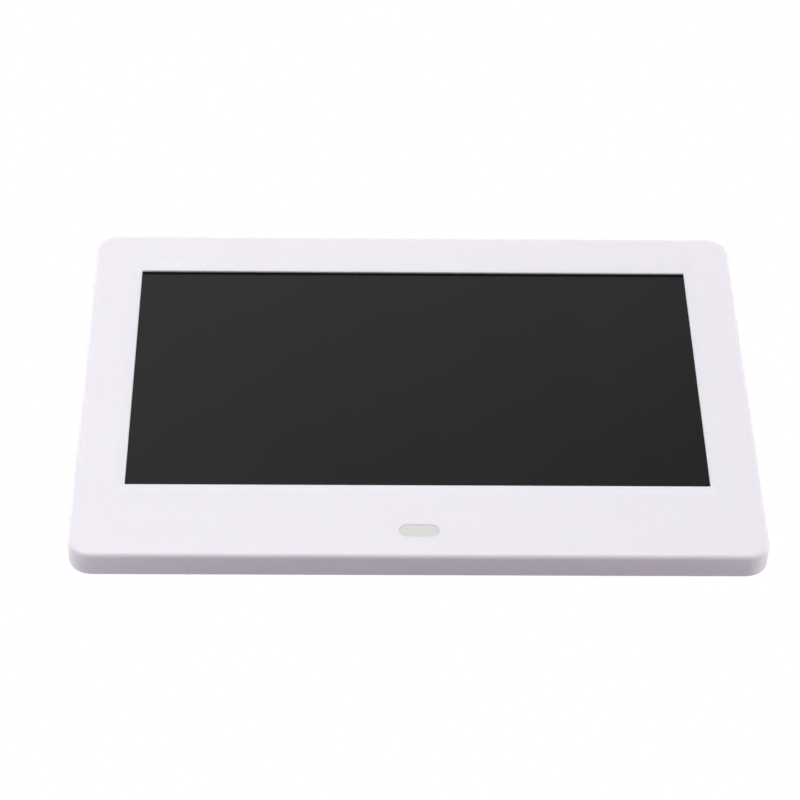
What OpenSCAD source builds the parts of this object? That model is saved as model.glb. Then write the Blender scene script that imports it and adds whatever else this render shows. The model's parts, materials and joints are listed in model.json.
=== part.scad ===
// Seven-inch digital photo frame, lying on its back with its stand folded away.
// X runs along the long side, Y towards the top edge of the picture, Z out of the screen.
// The origin is the middle of the outline, on the surface that the frame lies on.

/* [Outline] */
// Width of the bezel
frame_w = 181.8; // [181:0.1:188]
// Height of the bezel, from its bottom edge to its top edge
frame_h = 128.8; // [128:0.1:134]
// Depth over everything, from the rubber feet to the front face
frame_t = 19; // [19:0.5:22]
// Height of the bezel's side
side_h = 7.5; // [7.5:0.1:8]
// Corner radius of the outline
corner_r = 6; // [5:0.5:8]
// Rounding of the front edge
front_edge_r = 1.5; // [1:0.1:1.8]
// Rounding of the rear edge
rear_edge_r = 0.8; // [0.4:0.1:1]
// Thickness of the bezel's side wall
bezel_wall = 2.5; // [2.3:0.1:2.6]
// Thickness of the bezel's front plate
front_plate = 2; // [1.9:0.1:2.1]

/* [Screen] */
// Width of the screen opening
screen_w = 154.9; // [152:0.1:156]
// Height of the screen opening
screen_h = 87; // [85:0.1:88]
// Middle of the opening above the middle of the frame
screen_y = 5.9; // [5.8:0.1:6.4]
// Width of the sloping border around the opening
bevel_w = 3.7; // [2.5:0.1:4]
// Width of the soft bend along the border's outer edge
bevel_blend = 1; // [0.5:0.1:2]
// Depth of the sloping border
bevel_d = 0.7; // [0.6:0.05:0.8]
// Height of the wall between the border and the display
lip_t = 0.55; // [0.4:0.05:0.6]
// Depth of the display's front below the front face
display_drop = 1.6; // [1.6:0.05:1.7]

/* [Display module] */
// Width of the display module
lcd_w = 165; // [164:0.5:166]
// Height of the display module
lcd_h = 100; // [99.5:0.5:100.5]
// Thickness of the display module
lcd_t = 5; // [4.9:0.1:5]
// Middle of the module above the middle of the frame
lcd_y = 4.2; // [4:0.1:4.4]

/* [Rear cover] */
// Width of the raised housing
housing_w = 150; // [150:0.5:152]
// Height of the raised housing where it meets the flange
housing_h = 106; // [105:0.5:107]
// Slope of the housing's top and bottom walls, inwards for each millimetre of depth
housing_slope = 0.65; // [0.5:0.05:0.7]
// Wall thickness of the rear cover
cover_wall = 2; // [1.9:0.1:2.1]
// Thickness of the flange that closes the bezel
flange_t = 1.5; // [1.4:0.1:1.6]
// Height that the rubber feet stand proud
foot_h = 1; // [0.9:0.1:1.2]

/* [Stand] */
// Height of the hinge above the middle of the frame
hinge_y = 36; // [35:0.5:37]
// Length of the leg from hinge to tip
leg_l = 86; // [84:0.5:87]
// Width of the leg at the hinge
leg_w = 46; // [42:0.5:46]
// Width of the leg at its tip
leg_tip_w = 34; // [28:1:38]
// Thickness of the leg
leg_t = 3.6; // [3.4:0.1:3.6]
// Diameter of the hinge pin
pin_d = 2.5; // [2:0.1:2.5]
// Radial running clearance of the leg on its pin
pin_fit = 0.05; // [0.03:0.01:0.08]

/* [Keys] */
// Distance between neighbouring keys
key_pitch = 9; // [8.8:0.1:9.2]
// Width of a key
key_w = 10; // [8:0.5:10.5]
// Height of a key
key_h = 5; // [4.5:0.1:5.2]
// Distance that a key travels
key_travel = 0.5; // [0.3:0.05:0.6]

/* [Sockets] */
// Diameter of the headphone bore
phones_d = 3.6; // [3.5:0.05:3.7]
// Diameter of the power socket's centre pin
power_pin_d = 1.65; // [1.3:0.05:1.7]
// Inside diameter of the power socket
power_bore_d = 4.3; // [4:0.1:4.4]
// Entry diameter of a wall-hanging keyhole
keyhole_d = 8; // [7.5:0.1:8.2]
// Width of a keyhole's slot
keyhole_slot = 4; // [3.5:0.1:4]

/* [Hidden] */
$fn = 48;
corner_steps = 6;
eps = 0.5;

white = "#f0eef5";
smoke = "#e0e0de";
black = "#2d2d2f";
steel = "#b9bcc0";
green = "#1f6b3a";
rubber = "#4a4a4c";

// Levels, from the surface upwards
bezel_z = frame_t - side_h;
plate_z = frame_t - front_plate;
lip_z = frame_t - bevel_d - lip_t;
flange_z = bezel_z - flange_t;
floor_z = foot_h + cover_wall;
lcd_top = frame_t - display_drop;
lcd_back = lcd_top - lcd_t;
board_t = 1.2;
board_top = lcd_back - 1.6;
board_z = board_top - board_t;
key_board_top = board_top - 1.5;
key_board_z = key_board_top - board_t;

// Inside of the bezel's side wall, and the gap that the cover's tongue leaves to it
cavity_w = frame_w - 2 * bezel_wall;
cavity_h = frame_h - 2 * bezel_wall;
tongue_gap = 0.2;
tongue_t = 1.2;
tongue_h = 1.5;
flange_inset = 1.7;

// Screws: the four long ones close the case, and the short ones hold boards and brackets
case_screw_x = 60;
case_screw_y = 58;
case_shank_r = 1.2;
case_head_r = 2.3;
case_head_h = 1.6;
case_head_z = flange_z - 1;
case_boss_r = 3.6;
case_boss_z = flange_z - 1.2;
boss_r = 2.4;
small_shank_r = 0.9;
small_shank_l = 4.4;
small_head_r = 1.9;
small_head_h = 1.2;
retainer_y = lcd_y - lcd_h / 2 - 3.4;
retainer_at = [[-40, retainer_y], [40, retainer_y]];
retainer_t = 0.6;

// Infrared receiver behind its window, low in the middle of the bezel
ir_y = -55.2;
ir_w = 10.4;
ir_h = 4.4;
ir_sink = 0.08;
ir_gap = 0.03;
ir_board_z = lcd_back - 0.2;
ir_board_t = 1;
ir_post_x = 9.5;
ir_stake_r = 0.9;

// Layers of the display module, each from its lower level to its upper level
plate_t = 0.4;
guide_z = lcd_back + 0.6;
sheets_z = lcd_back + 3.2;
lower_glass_z = lcd_top - 1.2;
upper_glass_z = lcd_top - 0.7;
polariser_z = lcd_top - 0.2;
lcd_frame_top = lcd_top - 0.8;
glass_w = 160;
glass_top_y = screen_y + 45.5;
ledge_y = screen_y - 45.5;
glass_bottom_y = ledge_y - 4.5;
sheet_w = 157.6;
sheet_top_y = glass_top_y - 0.5;
guide_bottom_y = ledge_y + 0.6;
ribbon_x = 12;
ribbon_w = 28;
ribbon_t = 0.15;
ribbon_end_y = -26;

// Main board with its sockets along the right wall of the housing
board_left = -34;
board_right = housing_w / 2 - cover_wall - 0.4;
board_bottom = -32;
board_upper = 44;
board_screws = [[-30, 40], [50, 40], [-30, -28], [38, -28]];
wall_out = housing_w / 2;
sd_y = -17;
usb_y = 6;
mini_usb_y = 20;
phones_y = 30;
power_y = 39.5;
phones_z = board_z - 2.5;
power_z = board_z - 2.7;
phones_nose_r = 2.5;
power_nose_r = 2.7;
phones_l = 15;
nose_gap = 0.25;

// Keys in a column on the left of the housing, each over its own switch
key_x = -62;
key_top_y = 33;
key_count = 7;
key_gap = 0.3;
key_rim = 1.2;
key_rim_t = 0.8;
key_proud = 0.5;
pusher_r = 1.6;
switch_size = 6;
switch_z = floor_z + key_gap + key_rim_t + key_travel + 0.4;
key_board_left = -68;
key_board_w = 20;
key_board_bottom = -27;
key_board_h = 66;
key_screws = [[-52.5, 28.5], [-52.5, -16.5]];

// Speakers in the lower corners of the housing
speaker_x = 50;
speaker_y = -39;
speaker_w = 34;
speaker_h = 12;
speaker_t = 3.6;
speaker_gasket_t = 0.3;
speaker_pocket = 1.2;
speaker_rim = 1.5;
magnet_t = 1.6;

// Stand: the leg lies in a recess and turns on a pin through the recess's side walls
leg_z = foot_h + 0.4;
hinge_z = leg_z + 2.2;
barrel_r = 2.2;
leg_gap = 0.6;
recess_w = leg_w + 2 * leg_gap;
recess_top = hinge_z + barrel_r + 0.4;
recess_wall = 1.6;
recess_upper_y = hinge_y + barrel_r + 0.8;
leg_tip_y = hinge_y - leg_l;
pad_t = 2;
pad_w = 24;
scoop_w = 18;
scoop_top = recess_top + 3.2;
scoop_upper_y = -38;
scoop_wall = 1.3;
ear_l = 5;
cut_y = -60;

foot_r = 4;
foot_sink = 0.6;
foot_x = 68;
foot_y = 41;
keyhole_x = 40;
keyhole_y = 31;
keyhole_run = 7;
keyhole_depth = 3.2;
keyhole_room = 0.8;
keyhole_wall = 1.4;

// Plan corner of the housing
housing_r = 8;

// Points of an arc, and of a rectangle with round corners
function arc(x, y, r, start) =
  [for (i = [0:corner_steps]) let (a = start + 90 * i / corner_steps) [x + r * cos(a), y + r * sin(a)]];
function rounded_rect(w, h, r) = concat(
  arc(w / 2 - r, h / 2 - r, r, 0),
  arc(r - w / 2, h / 2 - r, r, 90),
  arc(r - w / 2, r - h / 2, r, 180),
  arc(w / 2 - r, r - h / 2, r, 270)
);
function lift(points, z, y = 0) = [for (p = points) [p[0], p[1] + y, z]];

// Solid through a list of loops that have the same number of points
module loft(loops) {
  n = len(loops[0]);
  last = len(loops) - 1;
  sides = [
    for (k = [0:last - 1], i = [0:n - 1])
      let (a = k * n + i, b = k * n + (i + 1) % n)
        each [[a, a + n, b + n], [a, b + n, b]]
  ];
  base = [[for (i = [0:n - 1]) i]];
  lid = [[for (i = [n - 1:-1:0]) last * n + i]];
  polyhedron([for (loop = loops) each loop], concat(base, sides, lid));
}

// Round lead along a route of points
function unit(v) = v / norm(v);
function heading(p, i) =
  unit((i > 0 ? unit(p[i] - p[i - 1]) : [0, 0, 0]) + (i < len(p) - 1 ? unit(p[i + 1] - p[i]) : [0, 0, 0]));
function ring(centre, t, r) =
  let (side = unit(cross([0.2, 0.1, 1], t)), up = cross(t, side))
    [for (i = [0:7]) centre + r * (cos(45 * i) * side + sin(45 * i) * up)];
module lead(route, r = 0.45) {
  loft([for (i = [0:len(route) - 1]) ring(route[i], heading(route, i), r)]);
}

module slab(w, h, r, z0, z1) {
  translate([0, 0, z0]) linear_extrude(z1 - z0) polygon(rounded_rect(w, h, r));
}
module pill(w, h, z0, z1) {
  slab(w, h, h / 2 - 0.01, z0, z1);
}
module box(x0, x1, y0, y1, z0, z1) {
  translate([x0, y0, z0]) cube([x1 - x0, y1 - y0, z1 - z0]);
}
module post(r, z0, z1) {
  translate([0, 0, z0]) cylinder(r=r, h=z1 - z0);
}
module each_at(places) {
  for (p = places) translate([p[0], p[1], 0]) children();
}
module mirrored() {
  for (s = [-1, 1]) scale([s, 1, 1]) children();
}
module along_x(x0, x1, y, z, r) {
  translate([x0, y, z]) rotate([0, 90, 0]) cylinder(r=r, h=x1 - x0);
}

case_screw_places = [for (x = [-1, 1], y = [-1, 1]) [x * case_screw_x, y * case_screw_y]];
foot_places = [for (x = [-1, 1], y = [-1, 1]) [x * foot_x, y * foot_y]];
speaker_places = [[-speaker_x, speaker_y], [speaker_x, speaker_y]];
key_places = [for (i = [0:key_count - 1]) [key_x, key_top_y - i * key_pitch]];

// Outline of the bezel drawn in by a distance
function bezel_loop(inset, z) =
  lift(rounded_rect(frame_w - 2 * inset, frame_h - 2 * inset, corner_r - inset), z);

module bezel_body() {
  steps = 4;
  rear = [
    for (i = [0:steps])
      let (a = 90 * i / steps)
        bezel_loop(rear_edge_r * (1 - sin(a)), bezel_z + rear_edge_r * (1 - cos(a)))
  ];
  front = [
    for (i = [0:steps])
      let (a = 90 * i / steps)
        bezel_loop(front_edge_r * (1 - cos(a)), frame_t - front_edge_r * (1 - sin(a)))
  ];
  loft(concat(rear, front));
}

// The border bends down softly from the face, then falls at an even slope to the screen
module screen_cut() {
  slope = bevel_d / (bevel_w - bevel_blend / 2);
  function depth(run) =
    run < bevel_blend ? slope * run * run / (2 * bevel_blend) : slope * (run - bevel_blend / 2);
  function opening(grow, r, z) =
    lift(rounded_rect(screen_w + 2 * grow, screen_h + 2 * grow, r), z, screen_y);
  border = [
    for (run = [bevel_w, bevel_blend, 0.7 * bevel_blend, 0.4 * bevel_blend, 0])
      opening(bevel_w - run, 2.2 - 2.1 * run / bevel_w, frame_t - depth(run))
  ];
  loft(concat([opening(0, 0.1, plate_z - 1)], border, [opening(bevel_w, 2.2, frame_t + 1)]));
}

// Two hooks hold the module's top edge, ribs centre it, and posts take the screws
module bezel_fittings() {
  lcd_upper_y = lcd_y + lcd_h / 2;
  fuse_z = plate_z + 0.2;
  each_at(case_screw_places) post(boss_r, bezel_z, fuse_z);
  each_at(retainer_at) post(boss_r - 0.1, lcd_back, fuse_z);
  for (x = [-50, 50]) {
    box(x - 6, x + 6, lcd_upper_y + 0.2, lcd_upper_y + 1.8, bezel_z + 0.1, fuse_z);
    box(x - 6, x + 6, lcd_upper_y - 1.5, lcd_upper_y + 1.8, bezel_z + 0.1, lcd_back - 0.1);
  }
  for (y = [-20, 30]) mirrored() box(lcd_w / 2 + 0.2, lcd_w / 2 + 1.4, y, y + 8, lcd_back, fuse_z);
  each_at([[-ir_post_x, ir_y], [ir_post_x, ir_y]]) {
    post(1.6, ir_board_z + ir_board_t, fuse_z);
    post(ir_stake_r, ir_board_z - 0.1, fuse_z);
    post(1.5, ir_board_z - 0.5, ir_board_z);
  }
}

module front_bezel() {
  color(white) difference() {
    union() {
      difference() {
        bezel_body();
        slab(cavity_w, cavity_h, corner_r - bezel_wall, bezel_z - 1, plate_z);
      }
      bezel_fittings();
    }
    screen_cut();
    translate([0, (glass_top_y + glass_bottom_y) / 2, 0])
      slab(glass_w + 1.5, glass_top_y - glass_bottom_y + 1.5, 0.5, plate_z - eps, lip_z);
    translate([0, ir_y, 0]) pill(ir_w, ir_h, plate_z - 1, frame_t + 1);
    each_at(case_screw_places) post(case_shank_r, bezel_z - 1, plate_z - 0.6);
    each_at(retainer_at) post(small_shank_r, lcd_back - 1, plate_z - 0.6);
  }
}

// Foam strips between the module and the front plate, along three sides
module screen_gasket() {
  outer_x = lcd_w / 2 - 0.4;
  outer_y = lcd_y + lcd_h / 2 - 0.4;
  color(rubber) {
    box(-outer_x, outer_x, outer_y - 1.2, outer_y, lcd_frame_top, plate_z);
    mirrored() box(outer_x - 1.1, outer_x, lcd_y - 40, outer_y - 1.6, lcd_frame_top, plate_z);
  }
}

module ir_window() {
  color(smoke) translate([0, ir_y, 0]) {
    pill(ir_w - 2 * ir_gap, ir_h - 2 * ir_gap, plate_z - 0.1, frame_t - ir_sink);
    pill(ir_w + 2, ir_h + 1.6, plate_z - 0.8, plate_z);
  }
}

module ir_receiver() {
  top = plate_z - 1.1;
  base = ir_board_z + ir_board_t;
  color(black) translate([0, ir_y, 0]) {
    box(-2.8, 2.8, -2.2, 2.2, base, top - 1);
    intersection() {
      translate([0, 0, top - 2.1]) sphere(r=2.1);
      box(-3, 3, -3, 3, top - 1.4, top + 1);
    }
  }
}

module ir_board() {
  color(green) difference() {
    translate([0, ir_y, 0]) slab(24, 8, 1, ir_board_z, ir_board_z + ir_board_t);
    each_at([[-ir_post_x, ir_y], [ir_post_x, ir_y]]) post(ir_stake_r + 0.1, ir_board_z - 1, ir_board_z + 2);
  }
}

module ir_lead() {
  z = lcd_back - 0.65;
  start_z = ir_board_z - 0.32;
  color(black) lead([
    [-5, ir_y + 1, start_z], [-6, -53, start_z], [-9, -49, start_z], [-12, -42, z], [-12, -34, z],
    [-12, -31.02, z]
  ], 0.3);
}

module lcd_polariser() {
  color(black) translate([0, screen_y, 0]) slab(screen_w + 2, screen_h + 2, 0.5, polariser_z, lcd_top);
}

module lcd_upper_glass() {
  color(black) box(-glass_w / 2, glass_w / 2, ledge_y, glass_top_y, upper_glass_z, polariser_z);
}

module lcd_lower_glass() {
  color(black) box(-glass_w / 2, glass_w / 2, glass_bottom_y, glass_top_y, lower_glass_z, upper_glass_z);
}

// Driver chips on the ledge of the lower glass
module lcd_driver_chips() {
  color("#55565a") for (x = [-45, 0, 45])
    box(x - 9, x + 9, ledge_y - 2.4, ledge_y - 1.2, upper_glass_z, upper_glass_z + 0.3);
}

// Moulded frame: a step for the glass above a well for the light guide
module lcd_frame() {
  w = lcd_w - 0.6;
  h = lcd_h - 0.6;
  step_w = glass_w / 2 + 0.3;
  well_w = sheet_w / 2 + 0.2;
  well_bottom = ledge_y - 1.2;
  color("#e8e8e4") difference() {
    translate([0, lcd_y, 0]) slab(w, h, 0.6, lcd_back + plate_t, lcd_frame_top);
    box(-step_w, step_w, glass_bottom_y - 0.3, glass_top_y + 0.3, lower_glass_z, lcd_top);
    box(-well_w, well_w, well_bottom, sheet_top_y + 0.2, lcd_back, lcd_top);
  }
}

module lcd_diffuser_sheets() {
  color("#f4f4f0") for (z = [sheets_z:0.2:sheets_z + 0.5])
    box(-sheet_w / 2, sheet_w / 2, guide_bottom_y, sheet_top_y, z, z + 0.18);
}

module lcd_light_guide() {
  color("#dfe8ee") box(-sheet_w / 2, sheet_w / 2, guide_bottom_y, sheet_top_y, guide_z, sheets_z);
}

module lcd_reflector() {
  color("#fafafa")
    box(-sheet_w / 2, sheet_w / 2, ledge_y - 1, sheet_top_y, lcd_back + plate_t, guide_z);
}

// Row of light-emitting diodes along the bottom edge of the light guide
module backlight_led_strip() {
  strip_y = ledge_y - 1;
  color("#f5efc8") {
    box(-sheet_w / 2 + 1, sheet_w / 2 - 1, strip_y, strip_y + 0.3, guide_z, guide_z + 2.4);
    for (x = [-72:8:72]) box(x - 1.6, x + 1.6, strip_y + 0.25, strip_y + 1.5, guide_z + 0.2, guide_z + 2.2);
  }
}

module backlight_lead() {
  z = board_top + 0.6;
  exit_y = lcd_y - lcd_h / 2;
  color("#b03030") lead([
    [-70, exit_y - 0.02, lcd_back + 1.2], [-70, exit_y - 1, lcd_back + 1.2],
    [-69.5, exit_y - 1.9, lcd_back - 0.2], [-64, -46, z], [-54, -42, z], [-44, -37, z],
    [-37, -32, z], [-32.5, -27, z], [-31.4, -24, z], [-31.4, -20.02, z]
  ]);
}

// Steel tray that closes the back of the module
module lcd_back_plate() {
  color(steel) difference() {
    translate([0, lcd_y, 0]) slab(lcd_w, lcd_h, 0.9, lcd_back, lcd_back + 2.6);
    translate([0, lcd_y, 0]) slab(lcd_w - 0.6, lcd_h - 0.6, 0.6, lcd_back + plate_t, lcd_back + 3);
  }
}

// Flat ribbon round the module's bottom edge to the connector on the board
module lcd_ribbon() {
  start_y = ledge_y - 3.2;
  fold_y = lcd_y - lcd_h / 2 - 1;
  run_z = board_top + 0.7;
  profile = [
    [start_y, upper_glass_z], [fold_y, upper_glass_z], [fold_y, run_z], [ribbon_end_y, run_z],
    [ribbon_end_y, run_z - ribbon_t], [fold_y - ribbon_t, run_z - ribbon_t],
    [fold_y - ribbon_t, upper_glass_z + ribbon_t], [start_y, upper_glass_z + ribbon_t]
  ];
  color("#c98a2b") translate([ribbon_x - ribbon_w / 2, 0, 0]) rotate([90, 0, 90])
    linear_extrude(ribbon_w) polygon(profile);
}

// Small steel tabs that hold the module's bottom edge
module lcd_retainers() {
  color(steel) each_at(retainer_at) difference() {
    box(-5, 5, -2.2, 7.4, lcd_back - retainer_t, lcd_back);
    post(small_shank_r + 0.2, lcd_back - 2, lcd_back + 1);
  }
}

module main_board() {
  color(green) difference() {
    box(board_left, board_right, board_bottom, board_upper, board_z, board_top);
    each_at(board_screws) post(small_shank_r + 0.2, board_z - 1, board_top + 1);
  }
}

// Chip on the underside of the board, with pins along two or four sides
module chip(x, y, w, h, t, pitch, four_sides) {
  translate([x, y, 0]) {
    color(black) box(-w / 2, w / 2, -h / 2, h / 2, board_z - t, board_z - 0.1);
    color(steel) {
      for (s = [-1, 1], i = [-floor(h / 2 / pitch) + 1:floor(h / 2 / pitch) - 1])
        translate([s * (w / 2 + 0.4), i * pitch, board_z - 0.2]) cube([1, 0.4, 0.4], center=true);
      if (four_sides) for (s = [-1, 1], i = [-floor(w / 2 / pitch) + 1:floor(w / 2 / pitch) - 1])
        translate([i * pitch, s * (h / 2 + 0.4), board_z - 0.2]) cube([0.4, 1, 0.4], center=true);
    }
  }
}

module processor_chip() {
  chip(8, 6, 14, 14, 1.4, 1, true);
}

module memory_chip() {
  chip(-14, 6, 10, 22, 1.1, 1.27, false);
}

module flash_chip() {
  chip(8, 26, 18, 12, 1.1, 1, false);
}

module power_inductors() {
  color("#3c3c40") each_at([[50, 3.5], [50, 11.5]]) difference() {
    slab(6, 6, 1.2, board_z - 3, board_z);
    post(1.6, board_z - 4, board_z - 2.6);
  }
}

// Aluminium-can capacitors
module capacitors() {
  color("#c9ccd2") each_at([[49.5, 20], [49.5, 27], [49.5, 34], [57, 20]]) {
    post(2.5, board_z - 5, board_z - 0.8);
    slab(5.2, 5.2, 0.8, board_z - 0.8, board_z);
  }
}

module crystal() {
  color(steel) translate([36, 16.5, 0]) pill(11, 4.6, board_z - 3.4, board_z);
}

module battery_holder() {
  color(black) translate([36, 4, 0]) difference() {
    slab(15, 15, 1.5, board_z - 3.2, board_z);
    post(6.4, board_z - 4, board_z - 0.8);
    box(-2.5, 2.5, -8, 0, board_z - 4, board_z - 0.8);
  }
}

module backup_battery() {
  color(steel) translate([36, 4, 0]) post(6.25, board_z - 2.9, board_z - 0.9);
}

module ribbon_connector() {
  half = ribbon_w / 2 + 2;
  color("#e9e4d4")
    box(ribbon_x - half, ribbon_x + half, ribbon_end_y, ribbon_end_y + 4, board_top, board_top + 1);
}

// Small headers on the upper side of the board, one for each lead
module lead_connectors() {
  color("#e9e4d4") {
    box(-14, -10, -31, -27.5, board_top, board_top + 1.3);
    box(-33, -29.5, -20, -16, board_top, board_top + 1.3);
    box(-33, -29.5, -9, -5, board_top, board_top + 1.3);
    box(52, 56, -31, -27.5, board_top, board_top + 1.3);
    box(-33.5, -30, 3, 13, board_top, board_top + 1.1);
  }
}

// Card socket: a folded steel shell, open towards the right
module sd_card_socket() {
  color(steel) translate([board_right, sd_y, board_z]) difference() {
    box(-28, 0, -13.75, 13.75, -2.9, 0);
    box(-26, 1, -12.2, 12.2, -2.55, -0.4);
  }
}

module usb_socket_shell() {
  color(steel) translate([board_right, usb_y, board_z]) difference() {
    box(-14, 1.4, -6.55, 6.55, -5.7, 0);
    box(-13, 2, -6.25, 6.25, -5.4, -0.3);
  }
}

module usb_socket_tongue() {
  color(black) translate([board_right, usb_y, board_z]) {
    box(-13, -10.5, -6.2, 6.2, -5.35, -0.35);
    box(-10.6, 0.6, -5.5, 5.5, -2.6, -0.8);
  }
}

module mini_usb_socket() {
  color(steel) translate([board_right, mini_usb_y, board_z]) {
    difference() {
      box(-9, 1.2, -3.85, 3.85, -3.9, 0);
      box(-7.8, 2, -3.5, 3.5, -3.55, -0.35);
    }
    box(-8, 0.4, -2.2, 2.2, -1.9, -1.2);
  }
}

// Round socket for a headphone plug, with its nose through the wall
module headphone_jack() {
  color(black) difference() {
    union() {
      box(board_right - phones_l, board_right, phones_y - 3, phones_y + 3, board_z - 5, board_z);
      along_x(board_right - 1, wall_out, phones_y, phones_z, phones_nose_r);
    }
    along_x(board_right - phones_l + 1.6, wall_out + 1, phones_y, phones_z, phones_d / 2);
  }
}

module power_jack() {
  color(black) difference() {
    union() {
      box(board_right - 10, board_right, power_y - 3.75, power_y + 3.75, board_z - 5.4, board_z);
      along_x(board_right - 1, wall_out, power_y, power_z, power_nose_r);
    }
    along_x(board_right - 8.5, wall_out + 1, power_y, power_z, power_bore_d / 2);
  }
}

module power_jack_pin() {
  color(steel) along_x(board_right - 8.5, wall_out - 0.8, power_y, power_z, power_pin_d / 2);
}

module speaker_gaskets() {
  color(rubber) each_at(speaker_places) difference() {
    slab(speaker_w, speaker_h, 4, floor_z, floor_z + speaker_gasket_t);
    slab(speaker_w - 2 * speaker_rim, speaker_h - 2 * speaker_rim, 3, floor_z - 1, floor_z + 1);
  }
}

module speaker_frames() {
  z = floor_z + speaker_gasket_t;
  color(black) each_at(speaker_places) difference() {
    slab(speaker_w, speaker_h, 4, z, z + speaker_t);
    slab(speaker_w - 2 * speaker_rim, speaker_h - 2 * speaker_rim, 3, z - 1, z + speaker_pocket);
  }
}

// Cone with a raised middle, inside the frame's pocket
module speaker_cones() {
  z = floor_z + speaker_gasket_t;
  w = speaker_w - 2 * speaker_rim;
  h = speaker_h - 2 * speaker_rim;
  color("#5b5b60") each_at(speaker_places) {
    slab(w - 0.2, h - 0.2, 2.9, z + 0.8, z + speaker_pocket);
    slab(w - 8, h - 3.5, 2, z + 0.4, z + 0.9);
  }
}

module speaker_magnets() {
  z = floor_z + speaker_gasket_t + speaker_t;
  color(steel) each_at(speaker_places) slab(18, 9, 1.5, z, z + magnet_t);
}

module speaker_leads() {
  z = floor_z + speaker_gasket_t + speaker_t + 0.46;
  top_z = board_top + 0.6;
  color("#3a3a3c") {
    lead([[-37, -37, z], [-37, -34.5, z + 0.3], [-36.8, -30, z + 1.2], [-36.5, -22, z + 2.2],
          [-36, -14, top_z - 0.5], [-35.2, -9, top_z], [-34.3, -7, top_z], [-33.02, -7, top_z]]);
    lead([[62, -37, z], [62, -34.4, z + 0.2], [58, -33.8, z + 1.2], [55, -33.6, board_z + 0.6],
          [54, -33.1, top_z - 0.1], [54, -31.02, top_z]]);
  }
}

// Short screw with its head at z = 0 and its shank upwards
module small_screw() {
  post(small_shank_r, 0, small_shank_l);
  difference() {
    post(small_head_r, -small_head_h, 0);
    for (a = [0, 90]) rotate(a) box(-1.2, 1.2, -0.25, 0.25, -small_head_h - 1, -small_head_h + 0.6);
  }
}

module small_screws() {
  color(steel) {
    each_at(retainer_at) translate([0, 0, lcd_back - retainer_t]) small_screw();
    each_at(board_screws) translate([0, 0, board_top]) rotate([180, 0, 0]) small_screw();
    each_at(key_screws) translate([0, 0, key_board_top]) rotate([180, 0, 0]) small_screw();
  }
}

module key_board() {
  color(green) difference() {
    box(key_board_left, key_board_left + key_board_w, key_board_bottom, key_board_bottom + key_board_h,
        key_board_z, key_board_top);
    each_at(key_screws) post(small_shank_r + 0.2, key_board_z - 1, key_board_top + 1);
  }
}

// Flat cable from the key board up to the main board
module key_ribbon() {
  x0 = key_board_left + key_board_w - 4;
  x1 = board_left + 0.4;
  end_z = board_top + 0.2;
  lower = [[x0, key_board_top], [x0 + 5, key_board_top], [x1 - 3, end_z], [x1, end_z]];
  upper = [for (i = [3:-1:0]) lower[i] + [0, ribbon_t]];
  color("#e6e6e6") translate([0, 12, 0]) rotate([90, 0, 0]) linear_extrude(8) polygon(concat(lower, upper));
}

// Switch bodies, each with a well that the key's pusher enters
module key_switches() {
  half = switch_size / 2;
  color(steel) each_at(key_places) difference() {
    box(-half, half, -half, half, switch_z, key_board_z);
    post(pusher_r + 0.2, switch_z - 1, switch_z + key_travel + 1.2);
  }
}

// Key cap with a rim that keeps it behind the cover and a pusher for its switch
module key(i) {
  rim_z = floor_z + key_gap;
  color(white) each_at([key_places[i]]) {
    pill(key_w, key_h, foot_h - key_proud, rim_z + 0.1);
    pill(key_w + 2 * key_rim, key_h + 2 * key_rim, rim_z, rim_z + key_rim_t);
    post(pusher_r, rim_z + key_rim_t - 0.1, switch_z + 0.4);
  }
}

module power_key() { key(0); }
module menu_key() { key(1); }
module up_key() { key(2); }
module left_key() { key(3); }
module enter_key() { key(4); }
module right_key() { key(5); }
module down_key() { key(6); }

// Half height of the housing at a level
function housing_half(z) = housing_h / 2 - housing_slope * (flange_z - z);

// Housing with its top and bottom walls sloping in towards the back
module housing_solid(inset, z_back, edge, z_front) {
  w = housing_w - 2 * inset;
  function loop(z, in) =
    lift(rounded_rect(w - 2 * in, 2 * (housing_half(z) - inset - in), housing_r - inset - in / 2), z);
  loft([loop(z_back, edge), loop(z_back + edge, 0), loop(z_front, 0)]);
}

// Everything that stands on the inside of the cover
module cover_fittings() {
  each_at(case_screw_places) post(case_boss_r, case_boss_z, bezel_z);
  each_at(board_screws) post(boss_r, floor_z - eps, board_z);
  each_at(key_screws) post(boss_r, floor_z - eps, key_board_z);
  for (x = [-1, 1]) translate([x * keyhole_x, keyhole_y, 0])
    keyhole_box(keyhole_wall, floor_z - eps, floor_z + keyhole_depth + 1.2);
  each_at(speaker_places) difference() {
    slab(speaker_w + 2.6, speaker_h + 2.6, 5, floor_z - eps, floor_z + 2.4);
    slab(speaker_w + 0.3, speaker_h + 0.3, 4.1, floor_z - 1, floor_z + 3);
  }
}

// Walls round the leg's recess, the ears of its hinge and the finger scoop at its tip
module recess_walls() {
  half = recess_w / 2 + recess_wall;
  intersection() {
    union() {
      box(-half, half, cut_y, recess_upper_y + recess_wall, foot_h + 1, recess_top + recess_wall);
      box(-scoop_w / 2 - scoop_wall, scoop_w / 2 + scoop_wall, cut_y, scoop_upper_y + scoop_wall,
          foot_h + 1, scoop_top + scoop_wall);
    }
    housing_solid(cover_wall / 2, foot_h + 0.8, 0.4, bezel_z);
  }
  mirrored() translate([recess_w / 2, hinge_y, 0])
    box(0, ear_l, -3, 3, foot_h + 1, recess_top + recess_wall);
}

module recess_cut() {
  box(-recess_w / 2, recess_w / 2, cut_y, recess_upper_y, 0, recess_top);
  box(-scoop_w / 2, scoop_w / 2, cut_y, scoop_upper_y, 0, scoop_top);
  along_x(-recess_w / 2 - ear_l - 1, recess_w / 2 + ear_l + 1, hinge_y, hinge_z, pin_d / 2);
}

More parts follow.
